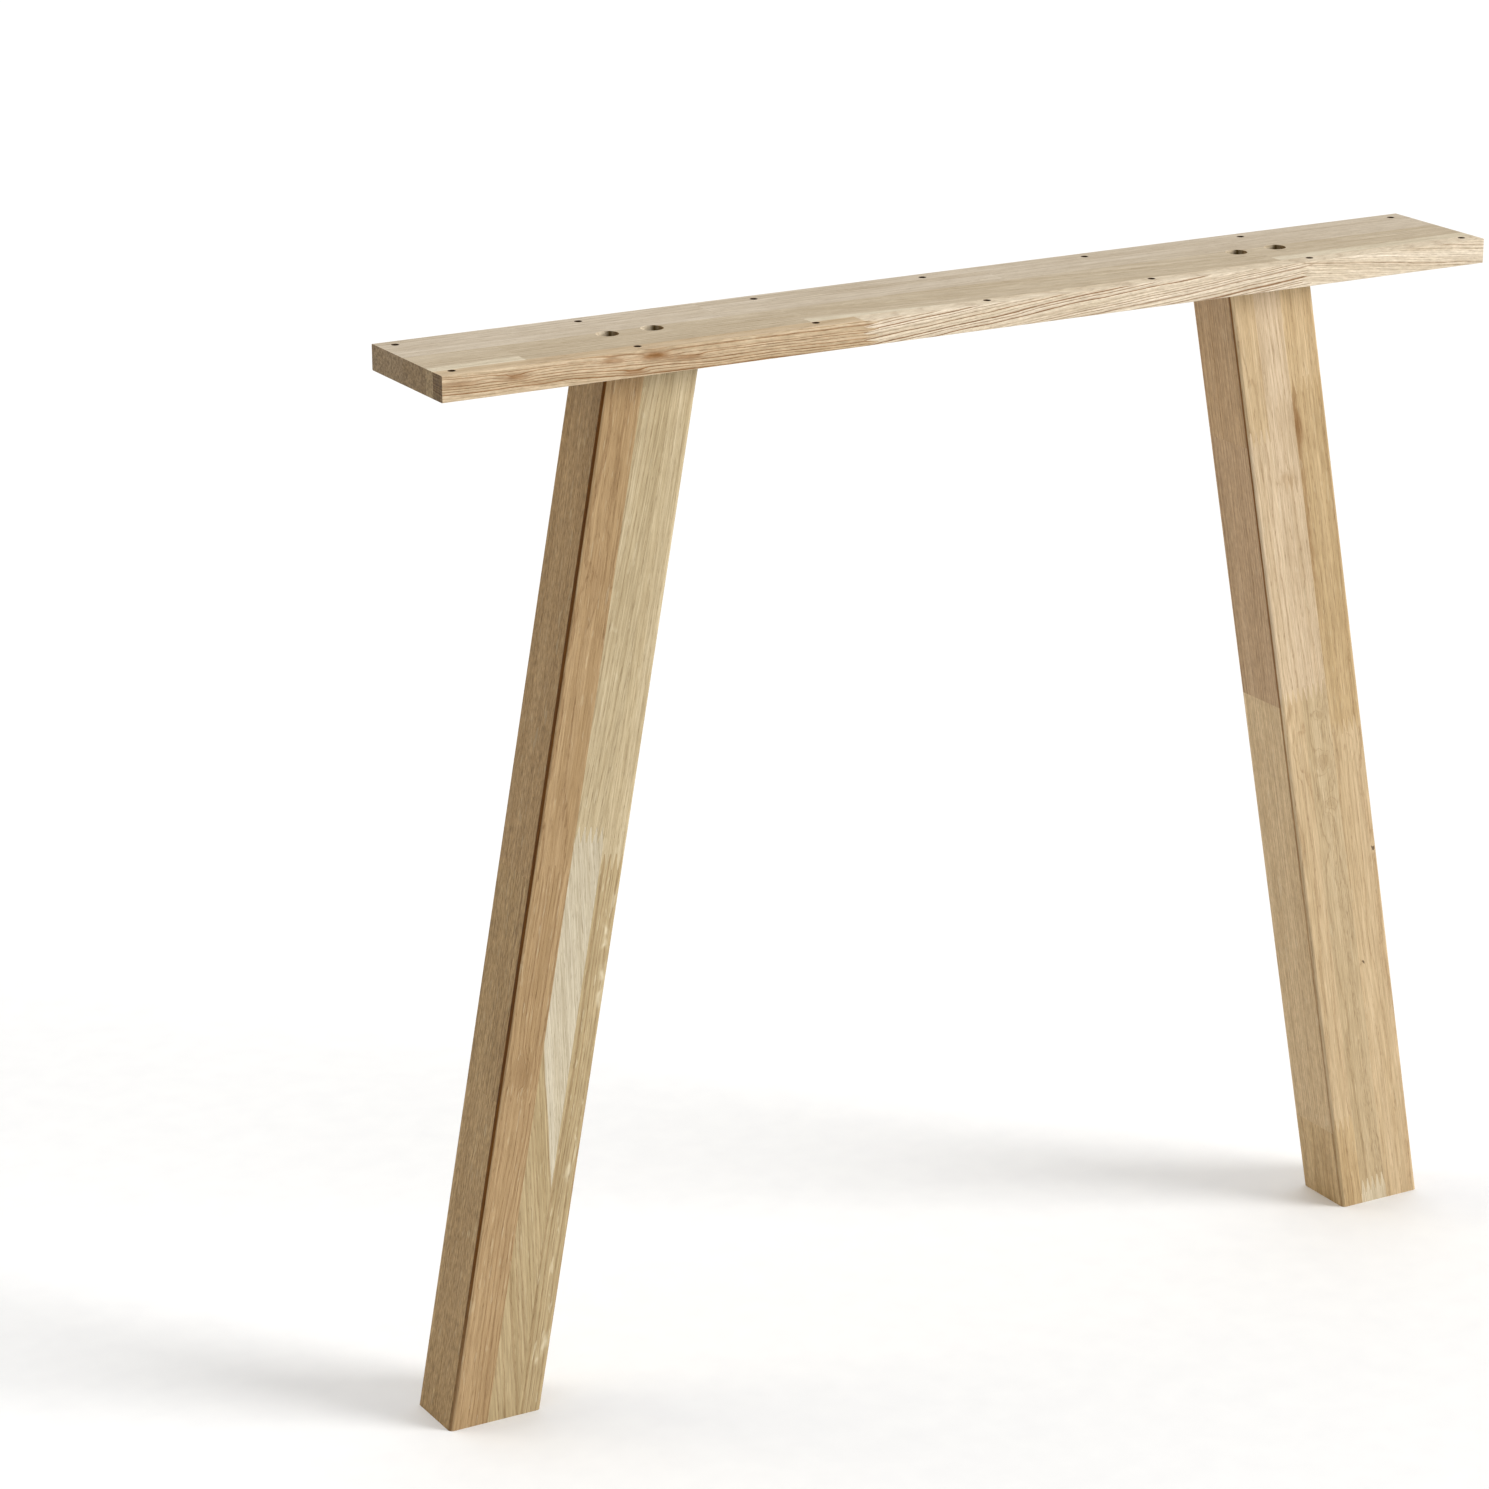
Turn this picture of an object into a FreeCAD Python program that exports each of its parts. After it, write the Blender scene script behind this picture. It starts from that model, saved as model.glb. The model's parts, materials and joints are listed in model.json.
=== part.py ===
import FreeCAD, Part
import os
import re
import Sketcher
from FreeCAD import Placement, Rotation, Vector

# A-frame trestle: a finger-jointed oak board on two splayed, laminated oak legs.
# Millimetres. +X runs along the board, +Y to the back, +Z up.
# The origin is on the floor, under the middle of the board.

SIZES = (
    ("overall_height", 720, "floor to top of board"),
    ("board_length", 795, "along X"),
    ("board_width", 100, "along Y"),
    ("board_thickness", 17, "along Z"),
    ("board_edge_radius", 0.8, "eased long edges of the board"),
    ("back_stave_width", 45, "stave along the back edge"),
    ("front_stave_width", 13, "stave along the front edge"),
    ("leg_splay", 10.25, "degrees from upright, in the plane of the frame"),
    ("leg_top_offset", 237, "middle of board to middle of leg, at the board's underside"),
    ("leg_depth", 48.5, "leg section along Y"),
    ("leg_edge_radius", 3, "rounded long edges of a leg"),
    ("outer_width", 27, "lamella facing away from the middle"),
    ("middle_width", 21.6, "lamella between the other two"),
    ("inner_width", 17.6, "lamella facing the middle"),
    ("finger_length", 11, "finger joint, root to tip"),
    ("finger_tip", 0.5, "blunt end of one finger"),
    ("screw_offset", 241.5, "middle of board to middle of a pair of screws"),
    ("screw_spacing", 32, "between the two screws of a leg"),
    ("counterbore_diameter", 15, "sunk hole for a screw head"),
    ("counterbore_depth", 10.5, "sunk hole for a screw head"),
    ("clearance_diameter", 7.6, "through hole for a screw shank"),
    ("screw_diameter", 7, "shank and thread crests"),
    ("thread_hole_diameter", 7.1, "hole that the thread cuts in a leg"),
    ("thread_hole_spare", 1, "depth of that hole past the screw's point"),
    ("screw_core_diameter", 5, "thread roots"),
    ("smooth_shank", 15, "plain shank under the head"),
    ("screw_pitch", 3, "between thread crests"),
    ("thread_flank", 0.9, "sloping side of the thread, along the screw"),
    ("thread_root", 1.05, "flat between two threads, along the screw"),
    ("screw_length", 60, "under the head"),
    ("screw_point", 5, "tapered end"),
    ("head_diameter", 13, "screw head"),
    ("head_height", 4, "screw head"),
    ("head_chamfer", 1.5, "bevel round the top of the screw head"),
    ("socket_width", 5, "hexagon socket across flats"),
    ("socket_depth", 2.6, "hexagon socket"),
    ("washer_diameter", 14, "washer, outside"),
    ("washer_thickness", 1.5, "washer"),
    ("fixing_hole_diameter", 4, "screw holes for the table top"),
    ("fixing_hole_inset", 11.5, "from the end of the board"),
    ("fixing_hole_margin", 10, "from the long edge of the board"),
)

# Table-top screw holes are drilled in this many columns, an odd number with one in the middle.
FIXING_COLUMNS = 7

# Fingers in a joint.
BOARD_FINGERS = 4
LAMELLA_FINGERS = {"outer": 6, "middle": 5, "inner": 4}

# Middles of the finger joints: along X in the board, and down from the board along a leg.
JOINTS = {
    "back_stave": (-165, 50),
    "middle_stave": (-328, -124.5, 241.5),
    "front_stave": (-93.5, 247),
    "left_leg_outer": (335, 486),
    "left_leg_middle": (309,),
    "left_leg_inner": (327,),
    "right_leg_outer": (79, 337),
    "right_leg_middle": (84, 149, 302, 699),
    "right_leg_inner": (106, 301, 642),
}
JOINT_CELLS = tuple(
    (f"{piece}_joint_{number}", place, "middle of a finger joint")
    for piece, places in JOINTS.items()
    for number, place in enumerate(places, start=1)
)
ALIASES = {alias for alias, _, _ in SIZES + JOINT_CELLS}

# Cutting outlines run past the wood by this much.
BEYOND = 5

# Points nearer than this are taken to be in the same place, and volumes this close to be the same.
CLOSE = 1e-4

doc = FreeCAD.newDocument("Trestle")


def make_sheet():
    """Write the driving dimensions, one to a row, with an alias on each value."""
    sheet = doc.addObject("Spreadsheet::Sheet", "Sizes")
    for row, (alias, value, note) in enumerate(SIZES + JOINT_CELLS, start=1):
        sheet.set(f"A{row}", alias)
        sheet.set(f"B{row}", str(value))
        sheet.set(f"C{row}", note)
        sheet.setAlias(f"B{row}", alias)
    doc.recompute()
    return sheet


sheet = make_sheet()


def cells(expression):
    """Put the sheet's name before each alias in an expression."""
    def named(match):
        word = match.group()
        return f"Sizes.{word}" if word in ALIASES else word
    return re.sub(r"[a-z]\w*", named, expression)


def value(expression):
    """Evaluate an expression of aliases and numbers."""
    return float(sheet.evalExpression(cells(expression)))


def origin_plane(body, role):
    """Find one of a body's own origin planes."""
    return next(f for f in body.Origin.OriginFeatures if f.Role == role)


def new_body(label):
    """Start a sub-part."""
    body = doc.addObject("PartDesign::Body", label)
    body.Label = label
    return body


def new_sketch(body, role, name, offset=None):
    """Start a sketch on one of the body's origin planes."""
    sketch = body.newObject("Sketcher::SketchObject", name)
    sketch.AttachmentSupport = [(origin_plane(body, role), "")]
    sketch.MapMode = "FlatFace"
    if offset is not None:
        sketch.AttachmentOffset = offset
    return sketch


def pin_point(sketch, geometry, vertex, across, up, name):
    """Hold one point at a place given by two expressions."""
    for kind, axis, expression in (("DistanceX", "x", across), ("DistanceY", "y", up)):
        index = sketch.addConstraint(Sketcher.Constraint(kind, -1, 1, geometry, vertex, value(expression)))
        sketch.renameConstraint(index, f"{name}_{axis}")
        sketch.setExpression(f"Constraints.{name}_{axis}", cells(expression))


def draw_outline(sketch, corners):
    """Draw a closed outline whose corners are pairs of expressions."""
    points = [Vector(value(across), value(up), 0) for across, up in corners]
    count = len(points)
    for index in range(count):
        sketch.addGeometry(Part.LineSegment(points[index], points[(index + 1) % count]), False)
    for index in range(count):
        sketch.addConstraint(Sketcher.Constraint("Coincident", index, 2, (index + 1) % count, 1))
    for index, (across, up) in enumerate(corners):
        pin_point(sketch, index, 1, across, up, f"corner_{index}")


def draw_circles(sketch, centres, diameter):
    """Draw equal circles whose centres are pairs of expressions."""
    for index, (across, up) in enumerate(centres):
        centre = Vector(value(across), value(up), 0)
        sketch.addGeometry(Part.Circle(centre, Vector(0, 0, 1), value(diameter) / 2), False)
        pin_point(sketch, index, 3, across, up, f"centre_{index}")
        size = sketch.addConstraint(Sketcher.Constraint("Diameter", index, value(diameter)))
        sketch.renameConstraint(size, f"diameter_{index}")
        sketch.setExpression(f"Constraints.diameter_{index}", cells(diameter))


def pad(body, sketch, length, symmetric=False):
    """Extrude a sketch by a length given as an expression."""
    feature = body.newObject("PartDesign::Pad", "Pad")
    feature.Profile = sketch
    feature.setExpression("Length", cells(length))
    feature.SideType = "Symmetric" if symmetric else "One side"
    doc.recompute()
    return feature


def pocket(body, sketch, length=None, reverse=False, symmetric=False):
    """Cut a sketch out of the body: through everything, or to a depth given as an expression."""
    before = body.Shape.Volume
    feature = body.newObject("PartDesign::Pocket", "Pocket")
    feature.Profile = sketch
    feature.SideType = "Symmetric" if symmetric else "One side"
    feature.Reversed = reverse
    if length is None:
        feature.Type = "ThroughAll"
    else:
        feature.Type = "Length"
        feature.setExpression("Length", cells(length))
    doc.recompute()
    if body.Shape.Volume > before - CLOSE:
        raise RuntimeError(f"{body.Label}: {sketch.Name} cuts nothing")
    return feature


def round_edges(body, picked, radius):
    """Fillet the edges of the body's tip that a test picks."""
    tip = body.Tip
    names = [f"Edge{i}" for i, edge in enumerate(tip.Shape.Edges, start=1) if picked(edge)]
    if not names:
        raise RuntimeError(f"{body.Label}: no edge to round")
    feature = body.newObject("PartDesign::Fillet", "Fillet")
    feature.Base = (tip, names)
    feature.setExpression("Radius", cells(radius))
    doc.recompute()


def finger_outline(start, width, fingers, joint, side):
    """Outline that cuts a finger joint: the wood on one side of a zigzag across the piece.

    The corners are (across, along) pairs of expressions. Side is + or -, along the piece.
    """
    low = f"{joint} - finger_length / 2"
    high = f"{joint} + finger_length / 2"
    half = f"( {width} ) / {2 * fingers}"
    end = f"{start} + ( {width} )"
    corners = [(f"{start} - {BEYOND}", low)]
    for finger in range(fingers):
        root = f"{start} + {2 * finger} * {half}"
        corners.append((f"{root} + finger_tip / 2", low))
        corners.append((f"{root} + {half} - finger_tip / 2", high))
        corners.append((f"{root} + {half} + finger_tip / 2", high))
        corners.append((f"{root} + 2 * {half} - finger_tip / 2", low))
    corners.append((f"{end} + {BEYOND}", low))
    away = f"{joint} {side} ( finger_length / 2 + {BEYOND} )"
    corners.append((f"{end} + {BEYOND}", away))
    corners.append((f"{start} - {BEYOND}", away))
    return corners


def swapped(corners):
    """Exchange across and along."""
    return [(along, across) for across, along in corners]


def place(body, x="0", y="0", z="0"):
    """Bind a sub-part's position to the sheet."""
    for axis, expression in (("x", x), ("y", y), ("z", z)):
        body.setExpression(f"Placement.Base.{axis}", cells(expression))


# The board

STAVES = {
    "back_stave": ("board_width / 2 - back_stave_width", "back_stave_width"),
    "middle_stave": (
        "- board_width / 2 + front_stave_width",
        "( board_width - back_stave_width - front_stave_width )",
    ),
    "front_stave": ("- board_width / 2", "front_stave_width"),
}
HALF_LENGTH = "board_length / 2"
BOARD_UNDERSIDE = "overall_height - board_thickness"
FIXING_GAP = f"( board_length - 2 * fixing_hole_inset ) / {FIXING_COLUMNS - 1}"
SCREW_PLACES = tuple(
    f"{side} screw_offset {step} screw_spacing / 2" for side in ("-", "+") for step in ("-", "+")
)


def board_outline(start, end):
    """Side view of one length of a stave."""
    return [(start, "0"), (end, "0"), (end, "board_thickness"), (start, "board_thickness")]


def drill_fixing_holes(body, start, end, row):
    """Drill the table-top screw holes that fall in this length of the edge stave."""
    first = -(FIXING_COLUMNS // 2)
    columns = [f"{FIXING_GAP} * ( {first + column} )" for column in range(FIXING_COLUMNS)]
    inside = [x for x in columns if value(start) < value(x) < value(end)]
    if not inside:
        return
    sketch = new_sketch(body, "XY_Plane", "FixingHoles")
    draw_circles(sketch, [(x, row) for x in inside], "fixing_hole_diameter")
    pocket(body, sketch, reverse=True)


def sink_screw_holes(body, start, end, middle):
    """Counterbore for the leg screws that meet this length of a stave, and drill their holes.

    The screw heads overlap the back stave a little, but the shanks pass through the middle one.
    """
    inside = [x for x in SCREW_PLACES if value(start) < value(x) < value(end)]
    if not inside:
        return
    centres = [(x, f"- ( {middle} )") for x in inside]
    if body.Label.startswith("middle_stave"):
        shank = new_sketch(body, "XY_Plane", "ScrewHoles")
        draw_circles(shank, centres, "clearance_diameter")
        pocket(body, shank, reverse=True)
    sunk = new_sketch(body, "XY_Plane", "Counterbores")
    sunk.setExpression("AttachmentOffset.Base.z", cells("board_thickness - counterbore_depth"))
    draw_circles(sunk, centres, "counterbore_diameter")
    pocket(body, sunk, reverse=True)


def on_long_edge(y):
    """Test for the board's long edges on one face, to be eased."""
    def picked(edge):
        ends = [vertex.Point for vertex in edge.Vertexes]
        along = abs(ends[0].x - ends[-1].x) > CLOSE
        return along and all(abs(end.y - y) < CLOSE for end in ends)
    return picked


def make_stave(name):
    """Make the finger-jointed lengths of one stave, from left to right."""
    near, width = STAVES[name]
    middle = f"{near} + {width} / 2"
    joints = [f"{name}_joint_{number}" for number in range(1, len(JOINTS[name]) + 1)]
    starts = [f"- {HALF_LENGTH}"] + [f"{joint} - finger_length / 2" for joint in joints]
    ends = [f"{joint} + finger_length / 2" for joint in joints] + [HALF_LENGTH]
    pieces = []
    for number, (start, end) in enumerate(zip(starts, ends), start=1):
        body = new_body(f"{name}_{number}")
        place(body, y=middle, z=BOARD_UNDERSIDE)
        outline = new_sketch(body, "XZ_Plane", "Outline")
        draw_outline(outline, board_outline(start, end))
        pad(body, outline, width, symmetric=True)
        if name == "back_stave":
            round_edges(body, on_long_edge(value(width) / 2), "board_edge_radius")
        if name == "front_stave":
            round_edges(body, on_long_edge(-value(width) / 2), "board_edge_radius")
        if number > 1:
            corners = finger_outline("0", "board_thickness", BOARD_FINGERS, joints[number - 2], "-")
            cut_fingers(body, swapped(corners))
        if number <= len(joints):
            corners = finger_outline("0", "board_thickness", BOARD_FINGERS, joints[number - 1], "+")
            cut_fingers(body, swapped(corners))
        if name == "back_stave":
            row = f"board_width / 2 - fixing_hole_margin - ( {middle} )"
            drill_fixing_holes(body, start, end, row)
        if name == "front_stave":
            row = f"- board_width / 2 + fixing_hole_margin - ( {middle} )"
            drill_fixing_holes(body, start, end, row)
        if name != "front_stave":
            sink_screw_holes(body, start, end, middle)
        pieces.append(body)
    return pieces


def cut_fingers(body, corners):
    """Cut one end of a piece to fingers."""
    sketch = new_sketch(body, "XZ_Plane", "Fingers")
    draw_outline(sketch, corners)
    pocket(body, sketch, symmetric=True)


# The legs. A leg is drawn upright: local +X faces away from the middle of the trestle,
# +Z runs up the leg, and the origin is the middle of its top, on the board's underside.

LEG_HALF_WIDTH = "( outer_width + middle_width + inner_width ) / 2"
LAMELLAS = {
    "outer": (f"{LEG_HALF_WIDTH} - outer_width", "outer_width"),
    "middle": (f"inner_width - {LEG_HALF_WIDTH}", "middle_width"),
    "inner": (f"- {LEG_HALF_WIDTH}", "inner_width"),
}
LEG_DROP = "( overall_height - board_thickness ) / cos(leg_splay)"
SCREW_REACH = "screw_length - washer_thickness - board_thickness + counterbore_depth"


def slanted(across, drop):
    """Height of a level cut through the leg, below its top, at one side of a lamella."""
    return f"- {drop} - ( {across} ) * tan(leg_splay)"


def leg_outline(start, width, top, bottom):
    """Front view of one length of a lamella, between finger joints or the leg's level ends."""
    end = f"{start} + {width}"
    low = [f"- {bottom} - finger_length / 2"] * 2
    if bottom is None:
        low = [slanted(start, LEG_DROP), slanted(end, LEG_DROP)]
    high = [f"- {top} + finger_length / 2"] * 2
    if top is None:
        high = [slanted(start, "0"), slanted(end, "0")]
    return [(start, low[0]), (end, low[1]), (end, high[1]), (start, high[0])]


def on_leg_corner(x, y):
    """Test for a leg's rounded long edges."""
    def picked(edge):
        ends = [vertex.Point for vertex in edge.Vertexes]
        upright = abs(ends[0].z - ends[-1].z) > CLOSE
        return upright and all(abs(end.x - x) < CLOSE and abs(abs(end.y) - y) < CLOSE for end in ends)
    return picked


def drill_leg(body):
    """Drill the two upright screw holes into the top of a leg."""
    tilt = Placement(Vector(0, 0, 0), Rotation(Vector(0, 1, 0), value("leg_splay")))
    sketch = new_sketch(body, "XY_Plane", "ScrewHoles", tilt)
    sketch.setExpression("AttachmentOffset.Rotation.Angle", cells("leg_splay"))
    middle = "screw_offset - leg_top_offset"
    centres = [(f"{middle} - screw_spacing / 2", "0"), (f"{middle} + screw_spacing / 2", "0")]
    draw_circles(sketch, centres, "thread_hole_diameter")
    pocket(body, sketch, f"{SCREW_REACH} + thread_hole_spare")


def make_lamella(side, name):
    """Make the finger-jointed lengths of one lamella, from the top down."""
    start, width = LAMELLAS[name]
    full_name = f"{side}_leg_{name}"
    joints = [f"{full_name}_joint_{number}" for number in range(1, len(JOINTS[full_name]) + 1)]
    fingers = LAMELLA_FINGERS[name]
    pieces = []
    for number, (top, bottom) in enumerate(zip([None] + joints, joints + [None]), start=1):
        body = new_body(f"{full_name}_{number}")
        outline = new_sketch(body, "XZ_Plane", "Outline")
        draw_outline(outline, leg_outline(start, width, top, bottom))
        pad(body, outline, "leg_depth", symmetric=True)
        if name == "outer":
            picked = on_leg_corner(value(LEG_HALF_WIDTH), value("leg_depth") / 2)
            round_edges(body, picked, "leg_edge_radius")
        if name == "inner":
            picked = on_leg_corner(-value(LEG_HALF_WIDTH), value("leg_depth") / 2)
            round_edges(body, picked, "leg_edge_radius")
        if top is not None:
            cut_fingers(body, finger_outline(start, width, fingers, f"- {top}", "+"))
        if bottom is not None:
            cut_fingers(body, finger_outline(start, width, fingers, f"- {bottom}", "-"))
        if top is None:
            drill_leg(body)
        stand(body, side)
        pieces.append(body)
    return pieces


def stand(body, side):
    """Splay a leg's piece and put it under its end of the board."""
    turn = Rotation(Vector(0, 0, 1), 180 if side == "left" else 0)
    lean = Rotation(Vector(0, 1, 0), -value("leg_splay"))
    body.Placement = Placement(Vector(0, 0, 0), turn.multiply(lean))
    place(body, x=f"{'-' if side == 'left' else '+'} leg_top_offset", z=BOARD_UNDERSIDE)


# The fastenings

HEAD_BEARING = "overall_height - counterbore_depth + washer_thickness"
THREAD_LENGTH = "( screw_length - smooth_shank - screw_point )"


def screw_profile():
    """Half section of a wood screw, from the top of its head to its point."""
    turns = int(value(f"{THREAD_LENGTH} / screw_pitch"))
    crest = "screw_diameter / 2"
    root = "screw_core_diameter / 2"
    corners = [
        ("0", "head_height"),
        ("head_diameter / 2 - head_chamfer", "head_height"),
        ("head_diameter / 2", "head_height - head_chamfer"),
        ("head_diameter / 2", "0"),
        (crest, "0"),
        (crest, "- smooth_shank"),
    ]
    for turn in range(turns):
        depth = f"- smooth_shank - {turn} * screw_pitch"
        corners.append((root, f"{depth} - thread_flank"))
        corners.append((root, f"{depth} - thread_flank - thread_root"))
        corners.append((crest, f"{depth} - 2 * thread_flank - thread_root"))
        corners.append((crest, f"{depth} - screw_pitch"))
    corners.append((root, "screw_point - screw_length"))
    corners.append(("0", "- screw_length"))
    return corners


def make_screw():
    """Turn one screw about its axis and cut its hexagon socket."""
    body = new_body("screw")
    profile = new_sketch(body, "XZ_Plane", "Profile")
    draw_outline(profile, screw_profile())
    turned = body.newObject("PartDesign::Revolution", "Revolution")
    turned.Profile = profile
    turned.ReferenceAxis = (profile, ["V_Axis"])
    turned.Angle = 360
    doc.recompute()
    socket = new_sketch(body, "XY_Plane", "Socket")
    socket.setExpression("AttachmentOffset.Base.z", cells("head_height"))
    radius = "socket_width / sqrt(3)"
    angles = [60 * corner for corner in range(6)]
    corners = [(f"{radius} * cos({a})", f"{radius} * sin({a})") for a in angles]
    draw_outline(socket, corners)
    pocket(body, socket, "socket_depth")
    return body


def make_washer():
    """Make one flat washer."""
    disc = doc.addObject("Part::Cylinder", "WasherDisc")
    disc.setExpression("Radius", cells("washer_diameter / 2"))
    disc.setExpression("Height", cells("washer_thickness"))
    hole = doc.addObject("Part::Cylinder", "WasherHole")
    hole.setExpression("Radius", cells("clearance_diameter / 2"))
    hole.setExpression("Height", cells("washer_thickness"))
    washer = doc.addObject("Part::Cut", "washer")
    washer.Base = disc
    washer.Tool = hole
    doc.recompute()
    return washer


def copies_at_screws(source, label, height):
    """Repeat a fastener at the four screw holes, as one group of separate solids."""
    shapes = []
    for x in SCREW_PLACES:
        shape = source.Shape.copy()
        shape.Placement = Placement(Vector(value(x), 0, 0), Rotation()).multiply(shape.Placement)
        shapes.append(shape)
    group = doc.addObject("Part::Feature", label)
    group.Label = label
    group.Shape = Part.makeCompound(shapes)
    group.Placement = Placement(Vector(0, 0, value(height)), Rotation())
    return group


def check(parts):
    """Stop if any feature failed, or if a sub-part isn't sound."""
    for thing in doc.Objects:
        if "Invalid" in thing.State or "Error" in thing.State:
            raise RuntimeError(f"{thing.Label} failed: {thing.State}")
    for part in parts:
        if part.Shape.isNull() or not part.Shape.isValid():
            raise RuntimeError(f"{part.Label} has no sound shape")


def main():
    parts = []
    for stave in STAVES:
        parts += make_stave(stave)
    for side in ("left", "right"):
        for lamella in LAMELLAS:
            parts += make_lamella(side, lamella)
    parts.append(copies_at_screws(make_screw(), "fixing_screws", HEAD_BEARING))
    washer_seat = "overall_height - counterbore_depth"
    parts.append(copies_at_screws(make_washer(), "screw_washers", washer_seat))
    doc.recompute()
    check(parts)
    os.makedirs("parts", exist_ok=True)
    for part in parts:
        part.Shape.exportStep(f"parts/{part.Label}.step")
        box = part.Shape.BoundBox
        print(f"{part.Label}: {len(part.Shape.Solids)} solids, {part.Shape.Volume:.0f} mm3,"
              f" x {box.XMin:.1f}..{box.XMax:.1f} y {box.YMin:.1f}..{box.YMax:.1f}"
              f" z {box.ZMin:.1f}..{box.ZMax:.1f}")


main()
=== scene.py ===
import json
import math

import bpy
from mathutils import Matrix, Vector


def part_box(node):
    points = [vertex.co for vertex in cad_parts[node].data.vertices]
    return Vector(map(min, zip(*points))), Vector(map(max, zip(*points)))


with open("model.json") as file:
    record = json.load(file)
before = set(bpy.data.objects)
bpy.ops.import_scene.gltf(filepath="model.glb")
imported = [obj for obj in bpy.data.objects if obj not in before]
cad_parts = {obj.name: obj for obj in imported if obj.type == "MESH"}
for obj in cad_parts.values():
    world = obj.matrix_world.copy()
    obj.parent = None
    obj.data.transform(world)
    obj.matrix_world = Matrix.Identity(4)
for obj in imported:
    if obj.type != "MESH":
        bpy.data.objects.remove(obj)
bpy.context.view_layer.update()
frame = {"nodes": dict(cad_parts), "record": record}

MM = 0.001

# How the legs and the board lie, for placing the grain
SPLAY = math.radians(10.25)
LEG_TOP_OFFSET = 237 * MM
BOARD_UNDERSIDE = 703 * MM

# The board's holes, in millimetres: pairs of small ones in equal columns, and four counterbored ones
FIXING_COLUMNS = 7
SCREW_OFFSET = 241.5
SCREW_SPACING = 32
COUNTERBORE_RADIUS = 7.5


# Small helpers for building node trees

def srgb(red, green, blue):
    """Linear colour from the 0 to 255 values that a colour chart gives."""
    def linear(channel):
        share = channel / 255
        return share / 12.92 if share <= 0.04045 else ((share + 0.055) / 1.055) ** 2.4
    return (linear(red), linear(green), linear(blue), 1.0)


class Graph:
    """Adds nodes to a tree and joins them. Each method returns the new node's output socket."""

    def __init__(self, tree):
        self.tree = tree

    def node(self, kind, **settings):
        made = self.tree.nodes.new(kind)
        for name, value in settings.items():
            setattr(made, name, value)
        return made

    def feed(self, socket, value):
        if isinstance(value, bpy.types.NodeSocket):
            self.tree.links.new(value, socket)
        else:
            socket.default_value = value

    def math(self, operation, *values, clamp=False):
        made = self.node("ShaderNodeMath", operation=operation, use_clamp=clamp)
        for socket, value in zip(made.inputs, values):
            self.feed(socket, value)
        return made.outputs[0]

    def vector(self, operation, *values):
        made = self.node("ShaderNodeVectorMath", operation=operation)
        for socket, value in zip(made.inputs, values):
            self.feed(socket, value)
        return made.outputs["Value" if operation in ("DOT_PRODUCT", "LENGTH") else "Vector"]

    def combine(self, x=0.0, y=0.0, z=0.0):
        made = self.node("ShaderNodeCombineXYZ")
        for socket, value in zip(made.inputs, (x, y, z)):
            self.feed(socket, value)
        return made.outputs[0]

    def split(self, vector):
        """The X, Y and Z of a vector."""
        made = self.node("ShaderNodeSeparateXYZ")
        self.feed(made.inputs[0], vector)
        return tuple(made.outputs)

    def place(self):
        """Position in the model's space, in metres."""
        return self.node("ShaderNodeTexCoord").outputs["Object"]

    def stretch(self, vector, across, along):
        """Scale a grain position by one amount across the grain and another along it."""
        return self.vector("MULTIPLY", vector, (across, across, along))

    def noise(self, vector, detail=2.0, roughness=0.5, output="Fac"):
        made = self.node("ShaderNodeTexNoise")
        self.feed(made.inputs["Vector"], vector)
        made.inputs["Scale"].default_value = 1.0
        made.inputs["Detail"].default_value = detail
        made.inputs["Roughness"].default_value = roughness
        return made.outputs[output]

    def span(self, value, low, high, to_low=0.0, to_high=1.0, smooth=True):
        """Map a range to another, smoothly, and hold it at both ends."""
        made = self.node("ShaderNodeMapRange")
        made.interpolation_type = "SMOOTHSTEP" if smooth else "LINEAR"
        for name, amount in zip(
            ("Value", "From Min", "From Max", "To Min", "To Max"), (value, low, high, to_low, to_high)
        ):
            self.feed(made.inputs[name], amount)
        return made.outputs["Result"]

    def mix(self, share, first, second, blend="MIX"):
        made = self.node("ShaderNodeMix", data_type="RGBA", blend_type=blend)
        self.feed(made.inputs[0], share)
        self.feed(made.inputs[6], first)
        self.feed(made.inputs[7], second)
        return made.outputs[2]

    def tint(self, colour, share, low, high):
        """Multiply a colour by one that runs from low to high."""
        return self.mix(1.0, colour, self.mix(share, low, high), "MULTIPLY")

    def bump(self, height, strength, distance):
        made = self.node("ShaderNodeBump")
        made.inputs["Strength"].default_value = strength
        made.inputs["Distance"].default_value = distance
        self.feed(made.inputs["Height"], height)
        return made.outputs["Normal"]

    def curve(self, value, stops):
        """A grey ramp through (position, level) stops."""
        made = self.node("ShaderNodeValToRGB")
        self.feed(made.inputs[0], value)
        elements = made.color_ramp.elements
        while len(elements) < len(stops):
            elements.new(0.5)
        for element, (position, level) in zip(elements, stops):
            element.position = position
            element.color = (level, level, level, 1.0)
        return made.outputs["Color"]


def new_group(name, inputs, outputs):
    """Start a node group. Inputs and outputs are (name, socket type) pairs."""
    tree = bpy.data.node_groups.new(name, "ShaderNodeTree")
    for label, kind in inputs:
        tree.interface.new_socket(label, in_out="INPUT", socket_type=kind)
    for label, kind in outputs:
        tree.interface.new_socket(label, in_out="OUTPUT", socket_type=kind)
    graph = Graph(tree)
    return graph, graph.node("NodeGroupInput").outputs, graph.node("NodeGroupOutput").inputs


def new_material(name):
    """A material, its graph and its shader."""
    material = bpy.data.materials.new(name)
    material.use_nodes = True
    return material, Graph(material.node_tree), material.node_tree.nodes["Principled BSDF"]


def add_group(graph, group):
    made = graph.node("ShaderNodeGroup")
    made.node_tree = group
    return made


FLOAT = "NodeSocketFloat"
VECTOR = "NodeSocketVector"
COLOUR = "NodeSocketColor"


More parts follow.
